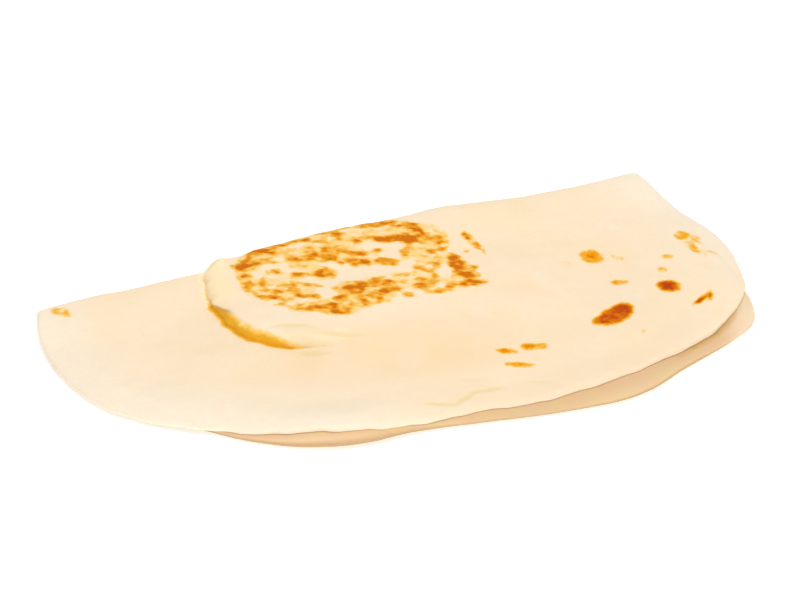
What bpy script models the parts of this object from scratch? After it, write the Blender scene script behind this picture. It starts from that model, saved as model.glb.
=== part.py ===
"""Folded lavash: one soft, nearly round flatbread, folded once so that its upper leaf lies on its lower leaf.

The part lies as it rests on a table, in metres with +Z up. X runs along the fold, which is at the back, and the free
edges are at the front. Every point of the bread has two sheet coordinates: x along the fold, from the fold's left end,
and s across it, along the sheet from the fold line. s is positive on the upper leaf and negative on the lower one.
"""

import math

import bmesh
import bpy
import numpy as np

# Driving dimensions of the sheet
FOLD_LENGTH = 0.282
THICKNESS = 0.0028
EDGE_THICKNESS = 0.0013
EDGE_TAPER = 0.010
FOLD_RADIUS = 0.0031
SETTLE_LENGTH = 0.034
LEAF_GAP = 0.0005
OVERHANG_HEIGHT = 0.0012
OVERHANG_REACH = 0.016
MIDDLE = FOLD_LENGTH / 2

# The free edge of each leaf, from left to right, as (x, distance from the fold line along the sheet)
UPPER_EDGE = (
    (0.000, 0.000),
    (-0.004, 0.015),
    (-0.005, 0.034),
    (-0.002, 0.054),
    (0.005, 0.073),
    (0.020, 0.0915),
    (0.040, 0.1066),
    (0.062, 0.121),
    (0.084, 0.1305),
    (0.108, 0.1365),
    (0.141, 0.1385),
    (0.171, 0.1412),
    (0.2005, 0.1402),
    (0.226, 0.1364),
    (0.250, 0.1282),
    (0.270, 0.1162),
    (0.2835, 0.1028),
    (0.292, 0.0835),
    (0.2955, 0.062),
    (0.292, 0.042),
    (0.285, 0.017),
)
LOWER_EDGE = (
    (0.001, 0.018),
    (0.002, 0.042),
    (0.012, 0.070),
    (0.031, 0.0955),
    (0.050, 0.116),
    (0.0685, 0.1285),
    (0.088, 0.135),
    (0.1095, 0.1365),
    (0.140, 0.142),
    (0.172, 0.1485),
    (0.2065, 0.151),
    (0.236, 0.1405),
    (0.262, 0.131),
    (0.2765, 0.123),
    (0.2838, 0.109),
    (0.286, 0.092),
    (0.2855, 0.066),
    (0.285, 0.040),
    (0.283, 0.018),
)

# Where the loop of the fold stands wider open, as (x, half width, extra radius)
FOLD_SWELLS = ((0.022, 0.020, 0.0004), (0.125, 0.045, 0.0005), (0.195, 0.055, 0.0010), (0.284, 0.016, 0.0003))

# The large blister on the upper leaf: its middle, its reach to each side and its height
BLISTER_MIDDLE = (0.128, 0.029)
BLISTER_LEFT = 0.060
BLISTER_RIGHT = 0.072
BLISTER_FRONT = 0.0475
BLISTER_BACK = 0.040
BLISTER_HEIGHT = 0.0057
BLISTER_SLANT = 0.12
FRONT_SQUARENESS = 2.8
BACK_SQUARENESS = 4.0
FOLD_BLISTER_START = -0.0005
FOLD_BLISTER_FULL = 0.006
FOLD_LEAN_FULL = 0.010

# A swelling and a dip at the blister's back left corner, as (x, s, radius, height)
CORNER_SWELLS = ((0.079, 0.005, 0.006, 0.0014), (0.089, 0.007, 0.010, -0.0015))

# The soft side falls from one share of the reach to another. Each steep side has the share up to which it is level, the
# turn of its edge, and its first and last direction in degrees from +x towards the front. Past 90 it leans over its foot.
SOFT_SIDE = (0.25, 1.60)
SIDES = ((0.84, 108.0, 112.0, 236.0), (0.84, 88.0, 236.0, 300.0))
SIDE_BLEND = 16.0
FOOT_FADE = 1.35

# The mesh is finer at the leaning side: shares of the reach on an even mesh, and where they are moved to
EVEN_SHARES = (0.0, 0.55, 0.74, 1.20, 1.50)
LIP_SHARES = (0.0, 0.55, 0.83, 1.02, 1.50)
LIP_CROWD_END = 205.0

# Puffed places near the lower leaf's free edge, as (x, half length, extra thickness)
PUFFS = ((0.087, 0.046, 0.0030), (0.222, 0.040, 0.0012))
PUFF_INSET = 0.007
PUFF_WIDTH = 0.018

# Slow waves of the upper leaf, as (wavelength along x, wavelength along s, phase, height), and how far in from its free
# edge they have their full height
WAVES = ((0.110, 0.150, 0.6, 0.0005), (0.067, 0.095, 2.1, 0.0004))
WAVE_INSET = 0.028

# Sizes of the solid's mesh, and where its lines crowd together, as (place, spread, gain) on a line from -1 to 1
ALONG_LINES = 58
ACROSS_LINES = 48
RIM_LINES = 3
ALONG_CROWDS = ((-0.45, 0.12, 1.6), (-1.0, 0.06, 1.5), (1.0, 0.06, 1.5))
ACROSS_CROWDS = ((0.0, 0.05, 6.0), (-1.0, 0.08, 2.0), (1.0, 0.06, 1.5), (0.45, 0.15, 0.5))

# The middle of the bread's bounding box, from the left end of the fold
ORIGIN_X = 0.14512
ORIGIN_Y = 0.07393

CRUST_COLOUR = (0.85, 0.69, 0.50, 1.0)
CRUST_ROUGHNESS = 0.72


def smooth(value, start, end):
    """Rises from 0 at start to 1 at end, level at both."""
    t = np.clip((value - start) / (end - start), 0.0, 1.0)
    return t * t * (3.0 - 2.0 * t)


def hump(value, middle, half_width):
    """A rounded hump of height 1 and no height past half_width."""
    t = np.clip(1.0 - ((value - middle) / half_width) ** 2, 0.0, 1.0)
    return t * t


def edge_radii():
    """Angles and radii of the sheet's free edge, seen from the middle of the fold, in order of angle."""
    points = [(x - MIDDLE, s) for x, s in UPPER_EDGE] + [(x - MIDDLE, -s) for x, s in LOWER_EDGE]
    points.append((FOLD_LENGTH - MIDDLE, 0.0))
    polar = sorted((math.atan2(s, x), math.hypot(x, s)) for x, s in points)
    return np.array(polar).T


EDGE_ANGLES, EDGE_RADII = edge_radii()


def edge_radius(angle):
    """Radius of the free edge at each angle, on a smooth closed curve through the edge's points."""
    turn = 2.0 * math.pi
    count = len(EDGE_ANGLES)
    places = np.concatenate([EDGE_ANGLES - turn, EDGE_ANGLES, EDGE_ANGLES + turn])
    radii = np.tile(EDGE_RADII, 3)
    slopes = np.gradient(radii, places)
    at = (np.asarray(angle) - EDGE_ANGLES[0]) % turn + EDGE_ANGLES[0]
    i = np.clip(np.searchsorted(places, at, side="right") - 1, count - 1, 2 * count)
    step = places[i + 1] - places[i]
    t = (at - places[i]) / step
    from_left = radii[i] * (1 + 2 * t) * (1 - t) ** 2 + slopes[i] * step * t * (1 - t) ** 2
    from_right = radii[i + 1] * t * t * (3 - 2 * t) - slopes[i + 1] * step * t * t * (1 - t)
    return from_left + from_right


def inset(x, s):
    """How far inside the free edge a place on the sheet is. It is negative outside."""
    return edge_radius(np.arctan2(s, x - MIDDLE)) - np.hypot(x - MIDDLE, s)


def puff(x, s):
    """Extra thickness of the lower leaf where it is puffed near its free edge."""
    extra = sum(tall * hump(x, middle, half_length) for middle, half_length, tall in PUFFS)
    return extra * hump(np.maximum(inset(x, s), PUFF_INSET), PUFF_INSET, PUFF_WIDTH) * (s < 0)


def plain_thickness(x, s):
    """Thickness of the sheet: thin at its free edge and full inside."""
    in_from_edge = np.clip(inset(x, s) / EDGE_TAPER, 0.0, 1.0)
    return EDGE_THICKNESS + (THICKNESS - EDGE_THICKNESS) * np.sqrt(1.0 - (1.0 - in_from_edge) ** 2)


def thickness(x, s):
    """Thickness of the sheet with its puffed places."""
    return plain_thickness(x, s) + puff(x, s)


def fold_radius(x):
    """Radius of the sheet's middle surface round the fold."""
    return FOLD_RADIUS + sum(extra * hump(x, middle, half) for middle, half, extra in FOLD_SWELLS)


def upper_height(x, s, reach):
    """Height of the upper leaf's underside where it has settled on the lower leaf, or hangs past its edge."""
    below = inset(x, -s)
    support = (THICKNESS + plain_thickness(x, -s)) / 2 + puff(x, -s) + LEAF_GAP
    covered = smooth(below, -OVERHANG_REACH, 0.004)
    height = OVERHANG_HEIGHT + covered * (support - OVERHANG_HEIGHT)
    loose = covered * smooth(inset(x, s), 0.0, WAVE_INSET)
    for length_x, length_s, phase, tall in WAVES:
        wave = np.sin(2 * math.pi * x / length_x + phase) * np.cos(2 * math.pi * reach / length_s + phase)
        height = height + tall * (1.0 + wave) * loose
    return height


def side_profile(share, level, turn):
    """Height and lean of a side of the blister, at each share of the way from its middle to its foot."""
    turn = math.radians(turn)
    turned = np.clip((share - level) / (1.0 - level), 0.0, 1.0) * turn
    height = (np.cos(turned) - math.cos(turn)) / (1.0 - math.cos(turn))
    leaned = level + (1.0 - level) * np.sin(turned) / math.sin(min(turn, math.pi / 2))
    outside = (leaned - 1.0) * (1.0 - smooth(share, 1.0, FOOT_FADE))
    lean = np.where(share < level, 0.0, np.where(share < 1.0, leaned - share, outside))
    return height, lean


def blister_place(x, s):
    """Share of the way from the blister's middle to its foot, and the direction in degrees."""
    from_x = x - BLISTER_MIDDLE[0] + BLISTER_SLANT * np.minimum(s - BLISTER_MIDDLE[1], 0.0)
    across_x = from_x / np.where(from_x < 0.0, BLISTER_LEFT, BLISTER_RIGHT)
    across_s = (s - BLISTER_MIDDLE[1]) / np.where(s < BLISTER_MIDDLE[1], BLISTER_BACK, BLISTER_FRONT)
    n = np.where(s < BLISTER_MIDDLE[1], BACK_SQUARENESS, FRONT_SQUARENESS)
    share = (np.abs(across_x) ** n + np.abs(across_s) ** n) ** (1.0 / n)
    return np.maximum(share, 1e-6), np.degrees(np.arctan2(across_s, across_x)) % 360.0


def moved_out(x, s, stretch):
    """Sheet coordinates moved away from the blister's middle by that share of their distance."""
    return x + (x - BLISTER_MIDDLE[0]) * stretch, s + (s - BLISTER_MIDDLE[1]) * stretch


def between(direction, first, last):
    """1 between two directions and 0 elsewhere, blended."""
    return smooth(direction, first - SIDE_BLEND, first + SIDE_BLEND) * (
        1.0 - smooth(direction, last - SIDE_BLEND, last + SIDE_BLEND)
    )


def crowded_to_lip(x, s):
    """Sheet coordinates of the mesh, drawn together at the leaning side of the blister."""
    share, direction = blister_place(x, s)
    wanted = np.where(share < EVEN_SHARES[-1], np.interp(share, EVEN_SHARES, LIP_SHARES), share)
    weight = between(direction, SIDES[0][2], LIP_CROWD_END) * smooth(s, FOLD_BLISTER_FULL, FOLD_LEAN_FULL)
    return moved_out(x, s, weight * (wanted - share) / share)


def blister(x, s):
    """The large blister, as its height and the sheet coordinates that its leaning side is moved to."""
    share, direction = blister_place(x, s)
    height = 1.0 - smooth(share, SOFT_SIDE[0], SOFT_SIDE[1])
    lean = np.zeros_like(share)
    for level, turn, first, last in SIDES:
        here = between(direction, first, last)
        side_height, side_lean = side_profile(share, level, turn)
        height = height + here * (side_height - height)
        lean = lean + here * (side_lean - lean)
    height = BLISTER_HEIGHT * height
    for middle_x, middle_s, radius, tall in CORNER_SWELLS:
        height = height + tall * hump(np.hypot(x - middle_x, s - middle_s), 0.0, radius)
    height = height * smooth(s, FOLD_BLISTER_START, FOLD_BLISTER_FULL)
    lean = lean * smooth(s, FOLD_BLISTER_FULL, FOLD_LEAN_FULL)
    moved_x, moved_s = moved_out(x, s, lean / share)
    return height, moved_x, moved_s


def folded(x, s):
    """Middle surface of the folded sheet and its outward direction, as distance from the fold and height."""
    radius = fold_radius(x)
    half_turn = radius * math.pi / 2
    turned = np.clip(s / radius, -math.pi / 2, math.pi / 2)
    beyond = np.maximum(np.abs(s) - half_turn, 0.0)
    reach = radius * (1.0 - np.cos(turned)) + beyond
    height = THICKNESS / 2 + radius * (1.0 + np.sin(turned)) + puff(x, s) / 2
    settled = smooth(beyond, 0.0, SETTLE_LENGTH) * (s > 0)
    rest = upper_height(x, s, reach) + thickness(x, s) / 2
    height = height + settled * (rest - height)
    return reach, height, -np.cos(turned), np.sin(turned)


def placed(x, s, out):
    """Points of the bread at sheet coordinates x and s, that far out from the sheet's middle surface."""
    reach, height, back, up = folded(x, s)
    return np.stack([x - ORIGIN_X, ORIGIN_Y - (reach + back * out), height + up * out], axis=-1)


def faces(x, s):
    """Points of the outer and the inner face of the bread at sheet coordinates x and s."""
    bulge, moved_x, moved_s = blister(x, s)
    half = thickness(x, s) / 2
    return placed(moved_x, moved_s, half + bulge), placed(x, s, -half)


def graded_lines(count, crowds):
    """Places from -1 to 1, closer together round each crowd."""
    fine = np.linspace(-1.0, 1.0, 4001)
    density = 1.0 + sum(gain * np.exp(-(((fine - place) / spread) ** 2)) for place, spread, gain in crowds)
    total = np.concatenate([[0.0], np.cumsum((density[1:] + density[:-1]) / 2)])
    return np.interp(np.linspace(0.0, total[-1], count), total, fine)


def sheet_coordinates(along, across):
    """Sheet coordinates of a square grid that is stretched over the whole sheet, with the fold line along its middle."""
    a, b = np.meshgrid(along, across, indexing="ij")
    u = a * np.sqrt(1.0 - b * b / 2.0)
    v = b * np.sqrt(1.0 - a * a / 2.0)
    radius = edge_radius(np.arctan2(v, u))
    return MIDDLE + radius * u, radius * v


def rim_loop(rows, columns):
    """Grid places round the edge of the sheet, in order."""
    loop = [(i, 0) for i in range(rows - 1)]
    loop += [(rows - 1, j) for j in range(columns - 1)]
    loop += [(i, columns - 1) for i in range(rows - 1, 0, -1)]
    loop += [(0, j) for j in range(columns - 1, 0, -1)]
    return loop


def rim_points(outer, inner, loop):
    """Points of a rounded rim between the two faces, one loop of points for each of its lines."""
    last_i = outer.shape[0] - 2
    last_j = outer.shape[1] - 2
    at = tuple(np.array(loop).T)
    inside = (np.clip(at[0], 1, last_i), np.clip(at[1], 1, last_j))
    middle = (outer[at] + inner[at]) / 2
    half = (outer[at] - inner[at]) / 2
    outward = middle - (outer[inside] + inner[inside]) / 2
    outward = outward / np.linalg.norm(outward, axis=1, keepdims=True)
    bulge = np.linalg.norm(half, axis=1, keepdims=True)
    turns = np.linspace(math.pi / 2, -math.pi / 2, RIM_LINES + 2)[1:-1]
    return [middle + outward * bulge * math.cos(turn) + half * math.sin(turn) for turn in turns]


def bread_mesh():
    """The closed skin of the bread: an outer face, an inner face, and a rounded rim that joins them."""
    x, s = sheet_coordinates(graded_lines(ALONG_LINES, ALONG_CROWDS), graded_lines(ACROSS_LINES, ACROSS_CROWDS))
    outer, inner = faces(*crowded_to_lip(x, s))
    rows, columns = x.shape
    bm = bmesh.new()
    grids = []
    for points in (outer, inner):
        grids.append([[bm.verts.new(points[i, j]) for j in range(columns)] for i in range(rows)])
    for grid in grids:
        for i in range(rows - 1):
            for j in range(columns - 1):
                bm.faces.new((grid[i][j], grid[i + 1][j], grid[i + 1][j + 1], grid[i][j + 1]))
    loop = rim_loop(rows, columns)
    lines = [[grids[0][i][j] for i, j in loop]]
    for points in rim_points(outer, inner, loop):
        lines.append([bm.verts.new(point) for point in points])
    lines.append([grids[1][i][j] for i, j in loop])
    for first, second in zip(lines, lines[1:]):
        for k in range(len(loop)):
            n = (k + 1) % len(loop)
            bm.faces.new((first[k], first[n], second[n], second[k]))
    bmesh.ops.triangulate(bm, faces=bm.faces[:])
    bmesh.ops.recalc_face_normals(bm, faces=bm.faces[:])
    mesh = bpy.data.meshes.new("bread")
    bm.to_mesh(mesh)
    bm.free()
    mesh.shade_smooth()
    return mesh


def crust_material():
    """Pale baked dough."""
    material = bpy.data.materials.new("crust")
    material.use_nodes = True
    shader = material.node_tree.nodes["Principled BSDF"]
    shader.inputs["Base Color"].default_value = CRUST_COLOUR
    shader.inputs["Roughness"].default_value = CRUST_ROUGHNESS
    shader.inputs["Metallic"].default_value = 0.0
    return material


def build():
    for old in list(bpy.data.objects):
        bpy.data.objects.remove(old)
    bread = bpy.data.objects.new("bread", bread_mesh())
    bread.data.materials.append(crust_material())
    bpy.context.scene.collection.objects.link(bread)


build()
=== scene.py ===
"""Looks of the folded lavash: the same folded sheet as the CAD solid, drawn finer, with its browned marks."""

import math

import bmesh
import bpy
import numpy as np
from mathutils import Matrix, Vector


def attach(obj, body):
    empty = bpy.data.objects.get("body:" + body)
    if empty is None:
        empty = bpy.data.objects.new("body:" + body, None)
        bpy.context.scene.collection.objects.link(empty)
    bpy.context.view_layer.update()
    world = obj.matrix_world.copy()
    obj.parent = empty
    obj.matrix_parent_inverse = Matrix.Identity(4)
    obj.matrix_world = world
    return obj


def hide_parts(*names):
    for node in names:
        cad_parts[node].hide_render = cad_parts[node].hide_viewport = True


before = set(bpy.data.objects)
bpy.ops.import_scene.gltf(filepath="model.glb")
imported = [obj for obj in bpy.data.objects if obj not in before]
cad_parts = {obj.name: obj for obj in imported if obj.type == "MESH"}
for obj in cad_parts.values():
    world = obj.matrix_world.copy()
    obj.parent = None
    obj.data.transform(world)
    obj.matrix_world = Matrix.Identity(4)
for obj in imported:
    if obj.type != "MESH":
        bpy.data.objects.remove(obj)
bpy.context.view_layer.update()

# Dimensions of the sheet, in metres, as in the CAD solid
FOLD_LENGTH = 0.282
THICKNESS = 0.0028
EDGE_THICKNESS = 0.0013
EDGE_TAPER = 0.010
FOLD_RADIUS = 0.0031
SETTLE_LENGTH = 0.034
LEAF_GAP = 0.0005
OVERHANG_HEIGHT = 0.0012
OVERHANG_REACH = 0.016
SUPPORTED_INSET = 0.004
MIDDLE = FOLD_LENGTH / 2
ORIGIN_X = 0.14512
ORIGIN_Y = 0.07393

# The free edge of each leaf, from left to right, as (x, distance from the fold line along the sheet)
UPPER_EDGE = (
    (0.000, 0.000),
    (-0.004, 0.015),
    (-0.005, 0.034),
    (-0.002, 0.054),
    (0.005, 0.073),
    (0.020, 0.0915),
    (0.040, 0.1066),
    (0.062, 0.121),
    (0.084, 0.1305),
    (0.108, 0.1365),
    (0.141, 0.1385),
    (0.171, 0.1412),
    (0.2005, 0.1402),
    (0.226, 0.1364),
    (0.250, 0.1282),
    (0.270, 0.1162),
    (0.2835, 0.1028),
    (0.292, 0.0835),
    (0.2955, 0.062),
    (0.292, 0.042),
    (0.285, 0.017),
)
LOWER_EDGE = (
    (0.001, 0.018),
    (0.002, 0.042),
    (0.012, 0.070),
    (0.031, 0.0955),
    (0.050, 0.116),
    (0.0685, 0.1285),
    (0.088, 0.135),
    (0.1095, 0.1365),
    (0.140, 0.142),
    (0.172, 0.1485),
    (0.2065, 0.151),
    (0.236, 0.1405),
    (0.262, 0.131),
    (0.2765, 0.123),
    (0.2838, 0.109),
    (0.286, 0.092),
    (0.2855, 0.066),
    (0.285, 0.040),
    (0.283, 0.018),
)

# The upper leaf's free edge lies closer to the lower leaf than the rest of it, and its rim is blunter below
EDGE_GAP = 0.0002
EDGE_GAP_REACH = 0.012
LIP_BLUNTNESS = 0.35

# Small unevenness of the free edges, as (waves all round, phase, height), and its share away from the upper
# leaf's front, which starts and is full at these sines of the direction from the fold's middle
EDGE_RIPPLES = ((49, 4.7, 0.0003), (23, 1.0, 0.0003), (97, 2.0, 0.0001))
OTHER_RIPPLE = 0.2
FRONT_SINES = (0.5, 0.9)

# Shallow dents in the free edges, as (direction in radians, half width, depth)
EDGE_DENTS = ((1.645, 0.23, 0.0017), (0.46, 0.20, 0.0007), (-0.60, 0.18, 0.0008))

# Where the loop of the fold stands wider open, as (x, half width, extra radius)
FOLD_SWELLS = ((0.022, 0.020, 0.0004), (0.125, 0.045, 0.0005), (0.195, 0.055, 0.0010), (0.284, 0.016, 0.0003))

# The large blister on the upper leaf: its middle, its reach to each side and its height
BLISTER_MIDDLE = (0.128, 0.029)
BLISTER_LEFT = 0.060
BLISTER_RIGHT = 0.072
BLISTER_FRONT = 0.0475
BLISTER_BACK = 0.040
BLISTER_HEIGHT = 0.0057
BLISTER_SLANT = 0.12
FRONT_SQUARENESS = 2.8
BACK_SQUARENESS = 4.0
FOLD_BLISTER_START = -0.0005
FOLD_BLISTER_FULL = 0.006
FOLD_LEAN_FULL = 0.010

# A swelling and a dip at the blister's back left corner, as (x, s, radius, height)
CORNER_SWELLS = ((0.079, 0.005, 0.006, 0.0014), (0.089, 0.007, 0.010, -0.0015))

# Small unevenness of the blister's outline, as (waves all round, phase, share of its reach)
OUTLINE_WAVES = ((11, 0.4, 0.006), (23, 2.0, 0.005), (41, 1.1, 0.003))

# The soft side falls from one share of the reach to another. Each steep side has the share up to which it is
# level, the turn of its edge, and its first and last direction. Directions are in degrees from +x towards the
# front. A turn past 90 degrees leans over its foot.
SOFT_SIDE = (0.25, 1.60)
SIDES = ((0.84, 98.0, 112.0, 236.0), (0.84, 88.0, 236.0, 300.0))
SIDE_BLEND = 16.0
FOOT_FADE = 1.35

# The mesh is finer at the leaning side: shares of the reach on an even mesh, and where they are moved to
EVEN_SHARES = (0.0, 0.55, 0.74, 1.20, 1.50)
LIP_SHARES = (0.0, 0.55, 0.83, 1.02, 1.50)
LIP_CROWD_END = 205.0

# Puffed places near the lower leaf's free edge, as (x, half length, extra thickness)
PUFFS = ((0.087, 0.046, 0.0030), (0.222, 0.040, 0.0012))
PUFF_INSET = 0.007
PUFF_WIDTH = 0.018

# Slow waves of the upper leaf, as (wavelength along x, wavelength along s, phase, height), and how far in from
# its free edge they have their full height
WAVES = ((0.110, 0.150, 0.6, 0.0005), (0.067, 0.095, 2.1, 0.0004))
WAVE_INSET = 0.028

# Fine unevenness of the outer face, as (shortest wavelength, longest wavelength, height), with its seed, the
# number of waves of each kind and the share of the height that each wave has
RELIEF = ((0.022, 0.060, 0.00016), (0.007, 0.016, 0.00004))
RELIEF_SEED = 7
RELIEF_WAVES = 28
RELIEF_SHARE = 0.27
WRINKLE_DEPTH = 0.0004

# Mesh lines, and where they crowd together, as (place, spread, gain) on a line from -1 to 1. The inner face has
# one line for every INNER_STEP lines of the outer one.
ALONG_LINES = 331
ACROSS_LINES = 250
INNER_STEP = 3
RIM_LINES = 5
ALONG_CROWDS = ((-0.12, 0.36, 1.0), (-1.0, 0.04, 1.5), (1.0, 0.04, 1.5))
ACROSS_CROWDS = ((0.0, 0.05, 3.0), (0.25, 0.25, 1.6), (-1.0, 0.08, 1.5), (1.0, 0.06, 2.0), (0.6, 0.4, 0.9))
DENSITY_STEPS = 4001

# Direction of the baked streaks, from +x towards the front
STREAK_TURN = math.radians(23.0)

# How far in front of the fold line the fine unevenness and the tints of the blister's side start and are full
RELIEF_FROM_FOLD = (0.0, 0.006)
CREASE_FROM_FOLD = (0.002, 0.006)
WALL_FROM_FOLD = (0.0, 0.005)

# How soft the outlines of the marks are: full at the first and gone at the second, in millimetres past them
BLOTCH_CORE = (-1.0, 0.6)
BLOTCH_HALO = (-0.5, 3.2)
BLOTCH_GLOW = (0.0, 3.0)
SPOT_CORE = (-1.7, 1.2)
SPOT_HALO = (-0.6, 2.8)
HAZE_EDGE = (-3.5, 2.0)
CLEAR_EDGE = (-0.8, 1.6)
SANDY_EDGE = (-10.0, 14.0)
WRINKLE_TINT_EDGE = (-0.6, 1.4)
WRINKLE_PRESSED_EDGE = (-0.8, 1.6)
CORE_DEPTH = 0.72
HALO_DEPTH = 0.28
GLOW_DEPTH = 0.6

# Gold at the foot of the blister's leaning side, partly the crease's own bake and partly painted warm light in
# its shade, by direction and by share of the way to the foot. Four numbers are where it starts, is full, fades
# and is gone.
CREASE_DIRECTIONS = (119.0, 135.0, 208.0, 218.0)
GOLD_TOP = 0.975
GOLD_WIDENING = 0.100
GOLD_WIDEST = 149.0
GOLD_WIDEST_REACH = 40.0
GOLD_SOFTNESS = 0.05
GOLD_FULLER = (152.0, 166.0)
GOLD_END = 1.042
GOLD_FOOT_LOST = 0.4
GOLD_FOOT_DIRECTIONS = (175.0, 195.0)
GOLD_FOOT_SHARES = (0.985, 1.0)
GOLD_LEFT_LOST = 0.6
GOLD_LEFT_DIRECTIONS = (176.0, 192.0)

# The brown line above the gold, which is painted shade under the lip, and the tints of the steep left side and
# of the groove at its foot, which are painted warm light in their shade
LIP_LINE_DIRECTIONS = (158.0, 169.0, 178.0, 190.0)
LIP_LINE_BELOW_TOP = 0.014
LIP_LINE_HALF_WIDTH = 0.020
WALL_DIRECTIONS = (165.0, 185.0, 225.0, 245.0)
WALL_SHARES = (0.78, 0.90, 1.0, 1.05)
GROOVE_HALF_WIDTH = 0.05

# Tints along the free edges, mostly painted shade and painted light. Insets are distances in from the edge,
# turns are shares of the way round the rim from the outer to the inner face, and spans are along x.
RIM_MARKS_END = 0.6
INSIDE_TURN = 0.1
UPPER_LIP_INSETS = (0.002, 0.006)
UPPER_LIP_TURNS = (0.2, 0.5)
LOWER_RIM_TURN = 0.42
LOWER_RIM_HALF_WIDTH = 0.5
BORDER_WIDTH = 0.034
BORDER_LOST = 0.8
BORDER_LOST_X = (0.075, 0.120)
BORDER_LOST_S = (0.06, 0.10)
FRONT_BAND_INSET = 0.002
FRONT_BAND_HALF_WIDTH = 0.016
FRONT_BAND_SPAN = (0.11, 0.15, 0.23, 0.26)
UNDER_EDGE_INSET = 0.001
UNDER_EDGE_HALF_WIDTH = 0.006
UNDER_EDGE_WIDENING = 0.014
UNDER_EDGE_WIDENS = (0.12, 0.16)
EDGE_SHADE_INSET = -0.0007
EDGE_SHADE_HALF_WIDTH = 0.0030
EDGE_SHADE_SPAN = (0.215, 0.245, 0.274, 0.288)

# How much weaker a tint is towards the right end, where the lower leaf lies in light, as (share lost, from x,
# to x)
INSIDE_WEAKER = (0.8, 0.248, 0.276)
LOWER_RIM_WEAKER = (0.6, 0.245, 0.270)
UNDER_EDGE_WEAKER = (0.7, 0.255, 0.275)

# Brightness that the lights give a white level surface, so a colour can be given as it should look
LIT = 1.17

# Soft round lamps, as (name, place, diameter, watts), the white surround and the floor
SOFTBOXES = (
    ("top_softbox", (0.20, 0.30, 1.6), 1.6, 14.0),
    ("front_softbox", (-0.35, -1.55, 0.5), 1.3, 12.6),
)
SURROUND_STRENGTH = 0.64
FLOOR_HALF = 12.0
FLOOR_DROP = 0.0001
FLOOR_GLOW = 0.25

# The camera: its direction and distance from the point that it looks at, and its lens and sensor in millimetres
CAMERA_AZIMUTH = math.radians(-23.823)
CAMERA_ELEVATION = math.radians(33.0)
CAMERA_DISTANCE = 1.2
CAMERA_TARGET = (0.00218, 0.03066, 0.0)
CAMERA_LENS = 125.88
CAMERA_SENSOR = 36.0
CAMERA_CLIP_END = 100.0
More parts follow.
